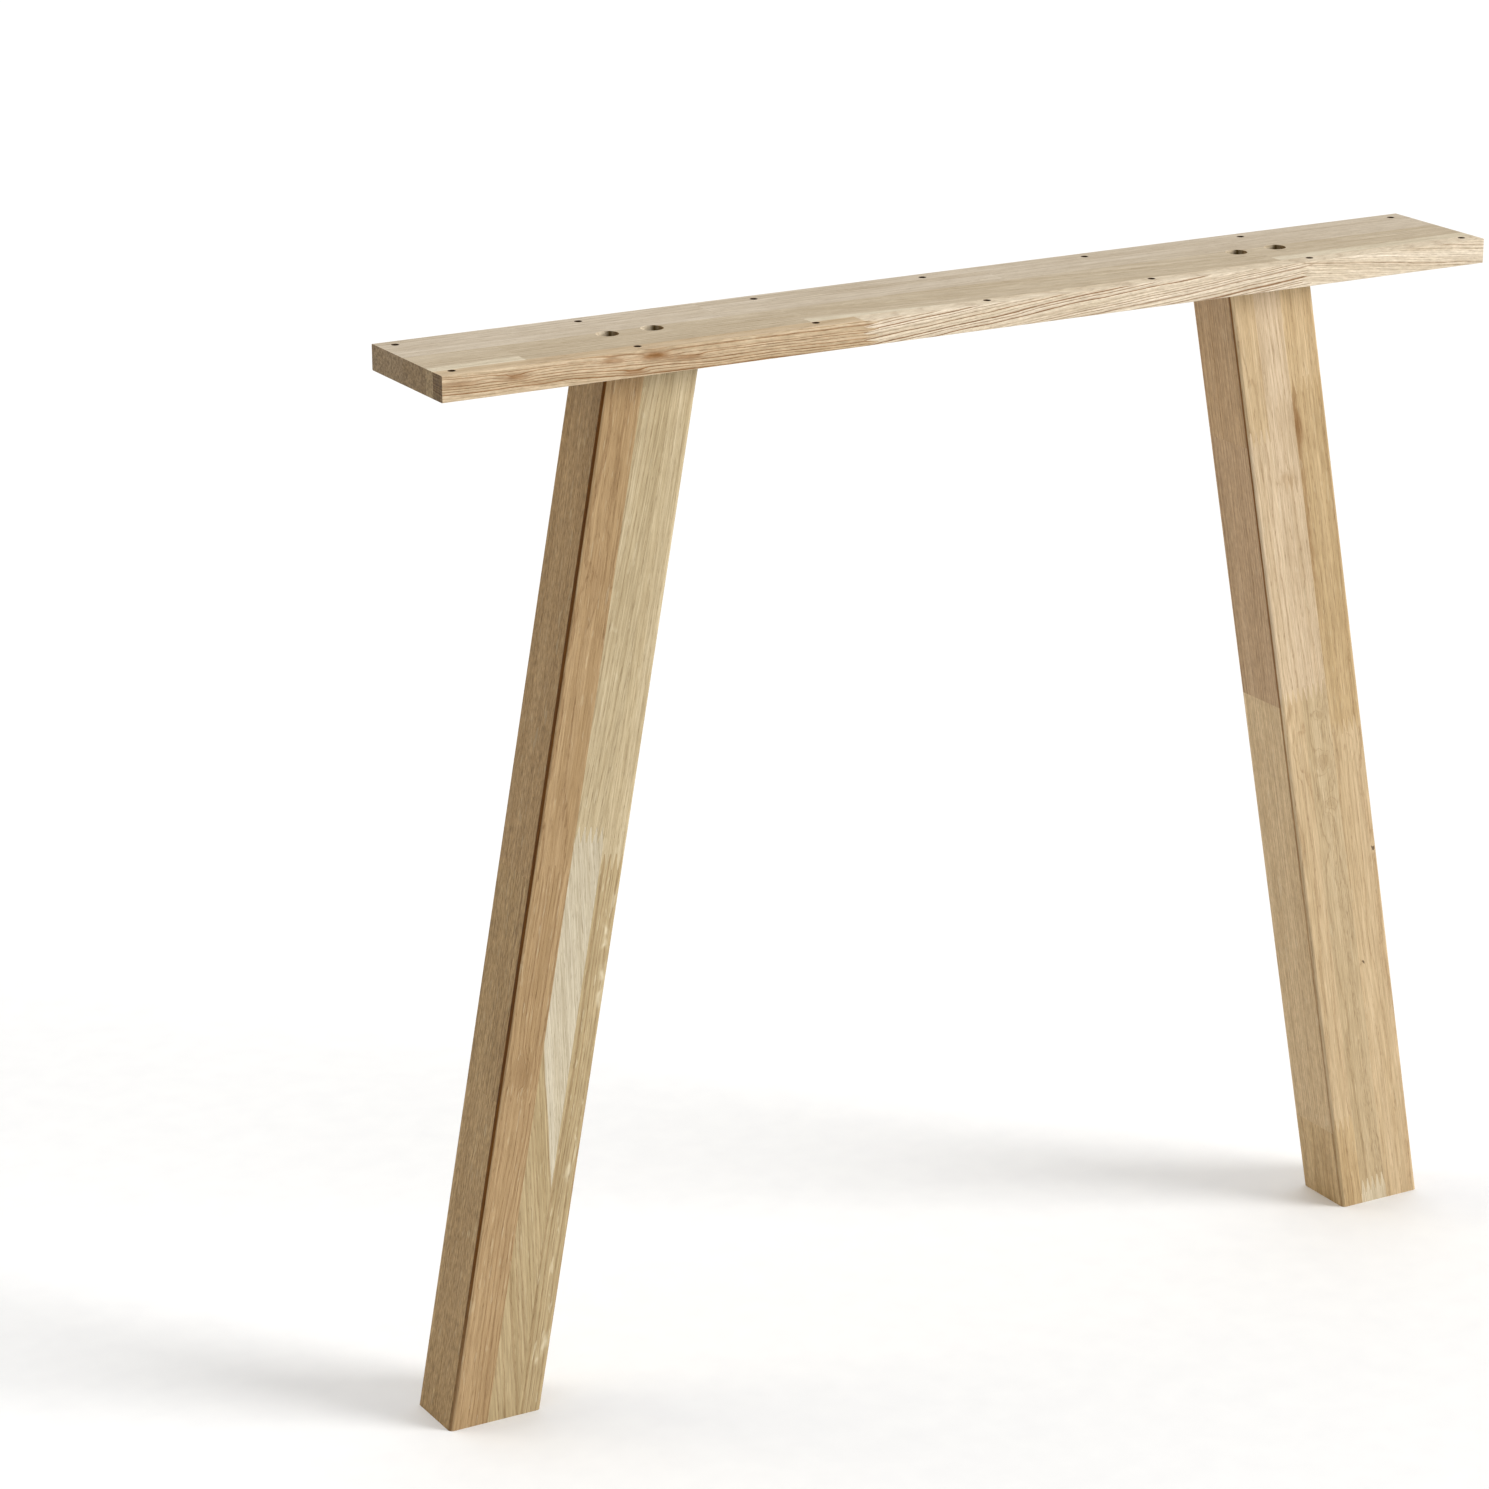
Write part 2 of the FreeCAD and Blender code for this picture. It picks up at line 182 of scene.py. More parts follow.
# Oak. Lengths in the grain are in millimetres, and noise scales are per millimetre.

WHITE = (1, 1, 1, 1)

# A knot's outline wanders: the scale of the noise, and how far. Its heart fades out at a multiple of
# its radius.
KNOT_NOISE = (0.13, 0.13, 0.09)
KNOT_WANDER = (7.0, 0.0, 16.0)
HEART_SOFTNESS = 1.6

# Each piece's seed is this much more than the last, and moves its noise by this step times the seed.
SEED_GAP = 1.37
SEED_STEP = (37.0, 53.0, 211.0)

# How strongly early wood shows through one ring, from its start at 0 to its end at 1
EARLY_WOOD = ((0.0, 0.9), (0.08, 1.0), (0.3, 0.25), (0.6, 0.06), (0.93, 0.14), (1.0, 0.9))
FAINTEST_RING = 0.25
RING_UNEVENNESS = 1.6
QUICK_WAVER = 2.4

# Tints, as the colours a pattern multiplies the wood by where it is lowest and highest
FIBRE_TINTS = (0.84, 0.82, 0.78, 1), (1.12, 1.13, 1.14, 1)
HAIR_TINTS = (0.86, 0.84, 0.81, 1), (1.10, 1.11, 1.12, 1)
STREAK_TINTS = (0.93, 0.91, 0.87, 1), (1.07, 1.08, 1.10, 1)
CLOUD_TINTS = (0.90, 0.88, 0.84, 1), (1.10, 1.12, 1.15, 1)
SPECK_TINTS = (0.72, 0.71, 0.68, 1), (1.24, 1.25, 1.27, 1)
# Sawn ends are darker: partly the end grain's own colour, partly painted shade.
SAWN_END_AND_SHADE_TINTS = (0.29, 0.23, 0.16, 1), (0.57, 0.48, 0.35, 1)
PORE_TINT = (0.48, 0.40, 0.32, 1)

RAY_COLOUR = (0.80, 0.72, 0.52, 1)
HEART_COLOUR = (0.06, 0.03, 0.015, 1)


def make_knot_group():
    """Rings that swell around a knot, its dark heart, and its stain, or a pale spot if that is negative."""
    graph, given, result = new_group(
        "Knot",
        [
            ("Grain", VECTOR), ("Centre", VECTOR), ("Shape", VECTOR), ("Reach", FLOAT),
            ("Swell", FLOAT), ("Heart", FLOAT), ("Stain", FLOAT), ("Earlier", VECTOR),
        ],
        [("Result", VECTOR)],
    )
    wander = graph.noise(graph.vector("MULTIPLY", given["Grain"], KNOT_NOISE), output="Color")
    wander = graph.vector("SUBTRACT", wander, (0.5, 0.5, 0.5))
    away = graph.vector("SUBTRACT", given["Grain"], given["Centre"])
    away = graph.vector("ADD", away, graph.vector("MULTIPLY", wander, KNOT_WANDER))
    distance = graph.vector("LENGTH", graph.vector("MULTIPLY", away, given["Shape"]))
    share = graph.math("DIVIDE", distance, given["Reach"])
    bell = graph.math("EXPONENT", graph.math("MULTIPLY", graph.math("POWER", share, 2.0), -1.0))
    heart_edge = graph.math("MULTIPLY", given["Heart"], HEART_SOFTNESS)
    here = graph.combine(
        graph.math("MULTIPLY", bell, given["Swell"]),
        graph.span(distance, given["Heart"], heart_edge, 1.0, 0.0),
        graph.math("MULTIPLY", bell, given["Stain"]),
    )
    graph.feed(result["Result"], graph.vector("ADD", here, given["Earlier"]))
    return graph.tree


def make_oak_group():
    """Oak seen as a slice of a log whose pith is the Z axis."""
    graph, given, result = new_group(
        "Oak",
        [
            ("Grain", VECTOR), ("Knots", VECTOR), ("Ring width", FLOAT), ("Warp", FLOAT),
            ("Contrast", FLOAT), ("Fleck", FLOAT), ("End", FLOAT), ("Seed", FLOAT),
            ("Sap radius", FLOAT), ("Mottle", FLOAT),
            ("Light", COLOUR), ("Deep", COLOUR), ("Sap", COLOUR),
        ],
        [("Colour", COLOUR), ("Roughness", FLOAT), ("Height", FLOAT)],
    )
    grain = given["Grain"]
    swell, heart, stain = graph.split(given["Knots"])
    seeded = graph.combine(given["Seed"], given["Seed"], given["Seed"])
    offset = graph.vector("ADD", grain, graph.vector("MULTIPLY", seeded, SEED_STEP))

    def pattern(across, along, detail, roughness=0.5, output="Fac"):
        """Noise stretched along the grain."""
        return graph.noise(graph.stretch(offset, across, along), detail, roughness, output)

    def waver(noise, reach):
        """Turn noise into a shift across the grain, up to half the reach each way."""
        return graph.vector("MULTIPLY", graph.vector("SUBTRACT", noise, (0.5, 0.5, 0.5)), (reach, reach, 0.0))

    # Growth rings: distance from a pith that wanders
    slow = waver(pattern(0.018, 0.0045, detail=2.0, output="Color"), 2.0)
    sway = graph.node("ShaderNodeVectorMath", operation="SCALE")
    graph.feed(sway.inputs[0], slow)
    graph.feed(sway.inputs["Scale"], given["Warp"])
    quick = waver(pattern(0.14, 0.022, detail=3.0, output="Color"), QUICK_WAVER)
    bent = graph.vector("ADD", graph.vector("ADD", grain, sway.outputs[0]), quick)
    across = graph.vector("MULTIPLY", bent, (1.0, 1.0, 0.0))
    radius = graph.math("ADD", graph.vector("LENGTH", across), swell)
    count = graph.math("DIVIDE", radius, given["Ring width"])
    uneven = graph.node("ShaderNodeTexNoise", noise_dimensions="1D")
    graph.feed(uneven.inputs["W"], graph.math("ADD", graph.math("MULTIPLY", count, 0.4), given["Seed"]))
    uneven.inputs["Scale"].default_value = 1.0
    count = graph.math("ADD", count, graph.math("MULTIPLY", uneven.outputs["Fac"], RING_UNEVENNESS))
    early = graph.curve(graph.math("FRACT", count), EARLY_WOOD)
    chance = graph.node("ShaderNodeTexWhiteNoise", noise_dimensions="1D")
    graph.feed(chance.inputs["W"], graph.math("ADD", graph.math("FLOOR", count), given["Seed"]))
    strength = graph.span(chance.outputs["Value"], 0.0, 1.0, FAINTEST_RING, 1.0, smooth=False)
    ring = graph.math("MULTIPLY", early, strength)

    # Pores: short dark slits, crowded in the early wood
    slit = graph.span(pattern(2.4, 0.17, detail=1.0), 0.57, 0.66)
    pore = graph.math("MULTIPLY", slit, graph.span(early, 0.0, 0.8, 0.22, 1.0))

    # Fibres, slow drifts of colour, and the rougher figure of edges sawn across the rings
    fibre = graph.span(pattern(1.25, 0.012, detail=5.0, roughness=0.7), 0.28, 0.72)
    hair = graph.span(pattern(2.1, 0.06, detail=3.0), 0.32, 0.68)
    streak = graph.span(pattern(0.14, 0.0035, detail=2.0), 0.25, 0.75)
    cloud = pattern(0.035, 0.014, detail=2.0)
    speck = graph.span(pattern(0.6, 0.18, detail=4.0, roughness=0.65), 0.3, 0.7)

    # Rays: thin sheets that run out from the pith and show as flecks. A pale knot counts as one.
    bent_x, bent_y, bent_z = graph.split(bent)
    turn = graph.math("ARCTAN2", bent_y, bent_x)
    sheet = graph.combine(
        graph.math("MULTIPLY", turn, 54.0),
        graph.math("MULTIPLY", radius, 0.14),
        graph.math("MULTIPLY", bent_z, 0.06),
    )
    ray = graph.noise(graph.vector("ADD", sheet, seeded), detail=2.0)
    common = graph.math("MULTIPLY_ADD", given["Fleck"], -0.02, 0.635)
    fleck = graph.span(ray, common, graph.math("ADD", common, 0.06))
    fleck = graph.math("MULTIPLY", fleck, given["Fleck"])
    fleck = graph.math("MAXIMUM", fleck, graph.math("MULTIPLY", stain, -1.0), clamp=True)

    # Colour
    depth = graph.math("MULTIPLY", ring, given["Contrast"], clamp=True)
    depth = graph.math("MAXIMUM", depth, graph.math("MULTIPLY", stain, 0.9), clamp=True)
    tinted = graph.mix(depth, given["Light"], given["Deep"])
    pale = graph.mix(graph.math("MULTIPLY", depth, 0.35), given["Sap"], given["Light"])
    sapwood = graph.span(graph.math("SUBTRACT", radius, given["Sap radius"]), -0.4, 0.5)
    tinted = graph.mix(sapwood, tinted, pale)
    tinted = graph.tint(tinted, fibre, *FIBRE_TINTS)
    tinted = graph.tint(tinted, hair, *HAIR_TINTS)
    tinted = graph.tint(tinted, streak, *STREAK_TINTS)
    tinted = graph.tint(tinted, cloud, *CLOUD_TINTS)
    tinted = graph.mix(given["Mottle"], tinted, graph.tint(tinted, speck, *SPECK_TINTS))
    tinted = graph.mix(fleck, tinted, graph.mix(0.55, tinted, RAY_COLOUR))
    tinted = graph.tint(tinted, graph.math("MULTIPLY", pore, 0.42), WHITE, PORE_TINT)
    tinted = graph.mix(graph.math("MULTIPLY", heart, 0.8), tinted, HEART_COLOUR)
    # Sawn ends are darkened, partly for their end grain and partly as painted shade.
    sawn = graph.span(graph.noise(graph.stretch(offset, 0.45, 0.45), detail=4.0), 0.25, 0.75)
    graph.feed(result["Colour"], graph.mix(given["End"], tinted, graph.tint(tinted, sawn, *SAWN_END_AND_SHADE_TINTS)))

    # Surface
    worn = graph.math("MULTIPLY_ADD", pore, 0.18, graph.math("MULTIPLY_ADD", fibre, 0.10, 0.50))
    graph.feed(result["Roughness"], graph.math("MULTIPLY_ADD", fleck, -0.1, worn))
    relief = graph.math("MULTIPLY_ADD", fibre, 0.25, graph.math("MULTIPLY", pore, -1.0))
    relief = graph.math("MULTIPLY_ADD", hair, 0.2, relief)
    graph.feed(result["Height"], graph.math("MULTIPLY_ADD", ring, -0.25, relief))
    return graph.tree


OAK = make_oak_group()
KNOT = make_knot_group()

# Woods, as (light, deep, sapwood) colours: between the early rings, in them, and near the bark
WOODS = {
    "straw": (srgb(201, 180, 152), srgb(164, 136, 100), srgb(209, 194, 170)),
    "wheat": (srgb(197, 174, 140), srgb(155, 123, 85), srgb(207, 192, 168)),
    "honey": (srgb(188, 163, 125), srgb(138, 102, 64), srgb(200, 184, 154)),
    "dun": (srgb(190, 169, 136), srgb(141, 113, 76), srgb(201, 187, 166)),
    "tan": (srgb(177, 158, 123), srgb(137, 109, 74), srgb(195, 185, 164)),
    "brown": (srgb(171, 144, 108), srgb(124, 92, 59), srgb(193, 174, 144)),
    "corn": (srgb(201, 177, 141), srgb(161, 129, 90), srgb(211, 197, 173)),
    "sage": (srgb(184, 168, 137), srgb(136, 112, 77), srgb(194, 180, 154)),
    "olive": (srgb(190, 174, 143), srgb(140, 116, 80), srgb(200, 186, 160)),
    "pale": (srgb(204, 190, 164), srgb(182, 160, 128), srgb(210, 198, 176)),
    "board": (srgb(192, 178, 156), srgb(152, 130, 100), srgb(208, 197, 176)),
    # The back staves' grey board wood is lighter and bluer than board: partly their own tone, partly a
    # painted sheen.
    "board_grey": (srgb(199, 187, 170), srgb(158, 139, 113), srgb(210, 200, 184)),
    "edge": (srgb(222, 209, 189), srgb(140, 106, 74), srgb(224, 212, 190)),
    "edge_brown": (srgb(200, 180, 152), srgb(138, 98, 58), srgb(214, 198, 170)),
    "grey": (srgb(207, 186, 157), srgb(158, 131, 99), srgb(211, 195, 171)),
}
NO_SAP = 10000.0

# Knots run deep into a piece, so distance counts for little that way.
DEEP = 0.15


def knot(across, along, reach, stretch, swell=0.0, heart=0.0, stain=0.0):
    """A knot on a leg's front or the board's front edge.

    Across is from the middle of the piece, and along is from a leg's top or the board's middle. Reach is
    across the grain, and stretch is how many times longer the knot is along it. Swell is how far the rings
    move outwards, heart is the radius of a dark middle, and stain is how deep the colour is. A pale fleck
    has a negative stain.
    """
    return dict(centre=(across, along), reach=reach, stretch=stretch, swell=swell, heart=heart, stain=stain)


# How each piece was cut from its log. Pith is where the log's middle lies, in millimetres from the
# middle of the piece: across it, then behind (of a leg) or above (of the board). Across is to the
# right in a leg and to the back in the board. Lean and rake tilt the grain, in degrees: lean as seen
# from a leg's front or the board's top, and rake as seen from a leg's side or the board's front.
# Sides are painted shade, a tint that darkens the piece's side faces; ends are tints of its sawn ends; and
# mottle is how strongly the side faces are speckled.
PLAIN = dict(
    wood="straw", pith=(60, 90), lean=0.0, rake=0.0, rings=2.6, warp=5.0, contrast=0.6, fleck=0.25,
    sap=NO_SAP, knots=(), mottle=0.45, sides=WHITE, ends=WHITE,
)
CUTS = {
    # The back staves' lighter, bluer tone is partly painted sheen.
    "back_stave_1": dict(wood="board_grey", pith=(70, 60), contrast=0.5),
    "back_stave_2": dict(wood="board_grey", pith=(-70, 60), contrast=0.5),
    "back_stave_3": dict(wood="board_grey", pith=(80, -50), contrast=0.4),
    "middle_stave_1": dict(wood="board", pith=(60, 4), sap=71.0, warp=1.5, contrast=0.4),
    "middle_stave_2": dict(wood="board", pith=(60, -60), contrast=0.5),
    "middle_stave_3": dict(wood="board", pith=(60, 4), lean=5.0, sap=82.0, warp=1.5, contrast=0.4),
    "middle_stave_4": dict(wood="board", pith=(60, -6), sap=71.0, warp=1.5, contrast=0.4),
    "front_stave_1": dict(
        wood="edge_brown", pith=(6, -70), rake=-1.5, contrast=1.3, rings=2.0, warp=6.0,
        ends=(0.66, 0.68, 0.66, 1),
        knots=[
            knot(2, -386, reach=2.6, stretch=6, swell=1.5, stain=0.7),
            knot(2, -347, reach=2.8, stretch=4, swell=2, stain=0.9),
            knot(-4, -330, reach=1.8, stretch=8, swell=1, stain=0.5),
            knot(4, -281, reach=2.4, stretch=4, swell=2, stain=0.8),
            knot(-5, -266, reach=2.2, stretch=5, swell=1.5, stain=0.8),
            knot(4, -250, reach=3.2, stretch=4, swell=3, stain=1.1),
            knot(0, -226, reach=2.2, stretch=7, swell=1.5, stain=0.8),
        ],
    ),
    "front_stave_2": dict(wood="edge", pith=(6, -80), rake=4.5, contrast=1.3, rings=1.9, warp=4.0),
    "front_stave_3": dict(wood="edge", pith=(6, -80), rake=-6.0, contrast=0.65, rings=1.7, warp=1.5),
    "left_leg_outer_1": dict(
        wood="brown", pith=(20, 60), contrast=0.4, rings=1.8, mottle=1.0, sides=(0.90, 0.89, 0.85, 1),
        knots=[
            knot(0, -140, reach=9, stretch=2.5, swell=3, stain=0.3),
        ],
    ),
    "left_leg_outer_2": dict(
        wood="brown", pith=(40, -70), rings=1.8, mottle=1.0, sides=(0.88, 0.88, 0.82, 1),
        knots=[
            knot(2, -472, reach=8, stretch=1.6, swell=5, stain=0.4),
        ],
    ),
    "left_leg_outer_3": dict(
        wood="brown", pith=(-50, 60), rings=1.8, mottle=1.0, sides=(0.95, 0.96, 0.92, 1),
    ),
    "left_leg_middle_1": dict(wood="sage", pith=(90, 10), lean=-2.4, rings=3.6, contrast=0.38, warp=1.5),
    "left_leg_middle_2": dict(
        wood="tan", pith=(-158, 5), lean=12.0, rings=3.0, sap=62.0, warp=1.0, contrast=0.5,
    ),
    "left_leg_inner_1": dict(wood="olive", pith=(70, 60), contrast=0.28),
    "left_leg_inner_2": dict(
        wood="tan", pith=(-60, 12), fleck=0.5, contrast=0.8,
        knots=[
            knot(4, -373, reach=2, stretch=1.8, stain=-1),
            knot(5, -382, reach=2, stretch=1.6, stain=-1),
            knot(6, -404, reach=2, stretch=2.4, stain=-1),
            knot(6, -419, reach=2, stretch=2.4, stain=-1),
            knot(3, -541, reach=1.8, stretch=2.6, stain=-0.9),
            knot(5, -660, reach=2, stretch=2.6, stain=-1),
            knot(1, -672, reach=1.6, stretch=2.6, stain=-0.8),
        ],
    ),
    "right_leg_outer_1": dict(wood="corn", pith=(60, 60), contrast=0.4),
    "right_leg_outer_2": dict(
        wood="honey", pith=(-50, 40), contrast=0.4,
        knots=[
            knot(-13, -104, reach=4, stretch=6, swell=0.5, stain=0.8),
            knot(-13, -180, reach=2.4, stretch=30, stain=0.6),
        ],
    ),
    "right_leg_outer_3": dict(
        wood="wheat", pith=(30, 60), contrast=0.5,
        knots=[
            knot(8.5, -437, reach=3, stretch=1.5, swell=2, heart=0.9),
            knot(-11, -520, reach=3, stretch=1.5, swell=2, heart=0.8),
            knot(0, -352, reach=8, stretch=1.8, swell=4),
        ],
    ),
    "right_leg_middle_1": dict(wood="straw", pith=(-60, 70), contrast=0.5),
    "right_leg_middle_2": dict(
        wood="straw", pith=(40, 90),
        knots=[
            knot(0, -146, reach=8, stretch=1, swell=4, stain=0.7),
        ],
    ),
    "right_leg_middle_3": dict(wood="straw", pith=(60, 70), contrast=0.35),
    "right_leg_middle_4": dict(
        wood="dun", pith=(24, 46), contrast=0.6, rings=2.8, warp=2.5,
        knots=[
            knot(1, -357, reach=6.5, stretch=1.3, swell=10, stain=0.45),
            knot(1, -322, reach=4, stretch=1, swell=5, stain=0.35),
            knot(1, -391, reach=6, stretch=1, swell=-7, stain=0.35),
            knot(-4, -425, reach=5, stretch=1.5, swell=2),
            knot(4, -480, reach=6, stretch=4, swell=1.5, stain=0.05),
            knot(-3, -560, reach=7, stretch=4, swell=1.5),
        ],
    ),
    "right_leg_middle_5": dict(wood="pale", pith=(20, 60)),
    "right_leg_inner_1": dict(
        wood="wheat", pith=(12, 40), contrast=0.6, sides=(0.78, 0.71, 0.66, 1),
        knots=[
            knot(0, -87, reach=6, stretch=6, swell=3, stain=0.1),
        ],
    ),
    "right_leg_inner_2": dict(wood="grey", pith=(40, 60), sides=(0.72, 0.64, 0.57, 1)),
    "right_leg_inner_3": dict(
        wood="wheat", pith=(-20, 60),
        knots=[
            knot(2, -345, reach=6, stretch=3, swell=4),
        ],
    ),
    "right_leg_inner_4": dict(wood="honey", pith=(60, 30)),
}

# The side half of each leg's rounded front left edge is darkened with painted shade: how wide, in
# millimetres, how strongly, and at what height, in metres, it starts to fade towards the foot.
EDGE_SHADES = {"left_leg_outer": (2.4, 1.0, 0.13), "right_leg_inner": (1.6, 0.85, 0.6)}
LEG_EDGE_RADIUS = 3.0
EDGE_SHADE_TINT = (0.34, 0.18, 0.01, 1)

# Tints round the drilled holes. A small hole's dark tint is painted shade on its wall, and it spreads past
# the wall onto the board's faces, fading out between these distances in millimetres, so the hole looks
# larger than it is. A counterbore's wall is painted pale on its left and dark on its right, which stands in
# for light and shade.
SMALL_BORE_SHADE_TINT = (0.10, 0.06, 0.03, 1)
SMALL_BORE_SPREAD = (0.45, 0.75)
PALE_BORE_TINT = (1.38, 1.38, 1.34, 1)
DARK_BORE_TINT = (0.34, 0.26, 0.10, 1)

# The front stave's top is plainer than its edge, and a little darker, which is painted shade.
FRONT_STAVE_TOP_SHADE = (0.95, 0.94, 0.92, 1)
FRONT_STAVE_TOP_CONTRAST = 0.25


def grain_frame(node):
    """Axes of a piece, as matrix columns: across it, behind or above it, and along the grain."""
    if "stave" in node:
        return Matrix(((0, 0, 1), (1, 0, 0), (0, 1, 0)))
    side = 1 if node.startswith("left") else -1
    along = Vector((side * math.sin(SPLAY), 0, math.cos(SPLAY)))
    back = Vector((0, 1, 0))
    across = back.cross(along)
    return Matrix((across, back, along)).transposed()


def grain_origin(node):
    """The point that a piece's grain positions are measured from."""
    low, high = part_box(node)
    middle = (low + high) / 2
    if "stave" in node:
        return Vector((0, middle.y, middle.z))
    side = -1 if node.startswith("left") else 1
    top = Vector((side * LEG_TOP_OFFSET, 0, BOARD_UNDERSIDE))
    axes = grain_frame(node)
    local = axes.transposed() @ (middle - top)
    return top + axes @ Vector((local.x, 0, 0))


def knot_centre(node, to_grain, pith, spot):
    """A knot's place in the grain. It lies on the piece's front face."""
    low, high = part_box(node)
    near = (high.y - low.y) / 2 / MM
    across, along = spot["centre"]
    local = Vector((-near, across, along)) if "stave" in node else Vector((across, -near, along))
    return to_grain @ grain_frame(node) @ local - pith


def grain_mapping(graph, node, cut):
    """Grain position of each point of a piece, in millimetres from the log's pith."""
    lean = Matrix.Rotation(math.radians(cut["lean"]), 3, "Y")
    rake = Matrix.Rotation(math.radians(cut["rake"]), 3, "X")
    to_grain = rake @ lean @ grain_frame(node).transposed()
    pith = Vector((cut["pith"][0], cut["pith"][1], 0))
    mapping = graph.node("ShaderNodeMapping", vector_type="POINT")
    mapping.inputs["Scale"].default_value = (1 / MM, 1 / MM, 1 / MM)
    mapping.inputs["Rotation"].default_value = to_grain.to_euler("XYZ")
    mapping.inputs["Location"].default_value = -(to_grain @ grain_origin(node)) / MM - pith
    graph.feed(mapping.inputs["Vector"], graph.place())
    return mapping.outputs[0], to_grain, pith


def make_bore_group():
    """Painted shade round the drilled holes in the board, and painted light on the counterbores' left walls,
    found by distance from the holes' axes.
    """
    graph, _, result = new_group("Bores", [], [("Tint", COLOUR)])
    mounts = {mount["name"]: mount["dims"] for mount in frame["record"]["mounts"]}
    rows = mounts["table_screws_ends"]
    gap = rows["spacing_x_mm"] / (FIXING_COLUMNS - 1)
    along, back, _ = graph.split(graph.vector("MULTIPLY", graph.place(), (1 / MM, 1 / MM, 1 / MM)))
    across = graph.math("ABSOLUTE", back)

    # Small holes, in two rows, darkened with painted shade that spreads onto the board's faces
    from_column = graph.math("PINGPONG", along, gap / 2)
    from_row = graph.math("SUBTRACT", across, rows["spacing_y_mm"] / 2)
    away = graph.vector("LENGTH", graph.combine(from_column, from_row))
    inner, outer = (rows["hole_r_mm"] + spread for spread in SMALL_BORE_SPREAD)
    in_small = graph.span(away, inner, outer, 1.0, 0.0)

    # Counterbores, in two pairs along the middle
    from_pair = graph.math("SUBTRACT", graph.math("ABSOLUTE", along), SCREW_OFFSET)
    from_screw = graph.math("SUBTRACT", graph.math("ABSOLUTE", from_pair), SCREW_SPACING / 2)
    away = graph.vector("LENGTH", graph.combine(from_screw, across))
    in_large = graph.span(away, COUNTERBORE_RADIUS + 0.05, COUNTERBORE_RADIUS + 0.15, 1.0, 0.0)
    outward = graph.math("MULTIPLY", from_screw, graph.math("SIGN", from_pair))
    rightward = graph.math("MULTIPLY", outward, graph.math("SIGN", along))
    to_dark_side = graph.math("MULTIPLY_ADD", rightward, 0.87, graph.math("MULTIPLY", back, -0.5))
    dark = graph.span(to_dark_side, -1.8, 1.4)
    dark = graph.math("MULTIPLY", dark, graph.span(rightward, 4.8, 7.2, 1.0, 0.0))
    wall = graph.mix(dark, PALE_BORE_TINT, DARK_BORE_TINT)
    graph.feed(result["Tint"], graph.mix(in_small, graph.mix(in_large, WHITE, wall), SMALL_BORE_SHADE_TINT))
    return graph.tree


BORES = make_bore_group()


def edge_shade(graph, node):
    """How much painted shade a leg's front left edge has, fading towards the foot."""
    width, amount, fade_from = EDGE_SHADES.get(node.rsplit("_", 1)[0], (0.0, 0.0, 1.0))
    facing = graph.node("ShaderNodeNewGeometry").outputs["Normal"]
    to_left = graph.vector("DOT_PRODUCT", facing, tuple(-grain_frame(node).col[0]))
    _, back, height = graph.split(graph.place())
    behind = graph.math("MULTIPLY", graph.math("SUBTRACT", back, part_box(node)[0].y), 1 / MM)
    start, end = LEG_EDGE_RADIUS - width, LEG_EDGE_RADIUS
    band = graph.math(
        "MULTIPLY",
        graph.span(behind, start - 0.2, start + 0.2),
        graph.span(behind, end - 0.2, end + 0.2, 1.0, 0.0),
    )
    band = graph.math("MULTIPLY", band, graph.span(to_left, 0.3, 0.5))
    return graph.math("MULTIPLY", band, graph.span(height, 0.0, fade_from, 0.5 * amount, amount))


def local_tint(graph, node):
    """The wood's painted shade round drilled holes, with painted light on the counterbores' left walls, or
    the painted shade on a leg's front left edge.
    """
    if "stave" in node:
        return add_group(graph, BORES).outputs["Tint"]
    return graph.mix(edge_shade(graph, node), WHITE, EDGE_SHADE_TINT)


def tint_faces(graph, colour, facing, axis, tint):
    """Tint the faces of a piece that look along an axis. Returns the colour and where they are."""
    share = graph.vector("DOT_PRODUCT", facing, tuple(axis))
    share = graph.span(graph.math("ABSOLUTE", share), 0.75, 0.95)
    return graph.mix(share, colour, graph.mix(1.0, colour, tint, "MULTIPLY")), share


def add_knots(graph, node, cut, grain, to_grain, pith):
    """Chain a piece's knots, each of which adds to the ones before it."""
    so_far = (0.0, 0.0, 0.0)
    for spot in cut["knots"]:
        added = add_group(graph, KNOT)
        graph.feed(added.inputs["Grain"], grain)
        added.inputs["Centre"].default_value = knot_centre(node, to_grain, pith, spot)
        along = 1 / spot["stretch"]
        added.inputs["Shape"].default_value = (DEEP, 1, along) if "stave" in node else (1, DEEP, along)
        for name in ("Reach", "Swell", "Heart", "Stain"):
            added.inputs[name].default_value = spot[name.lower()]
        graph.feed(added.inputs["Earlier"], so_far)
        so_far = added.outputs["Result"]
    return so_far


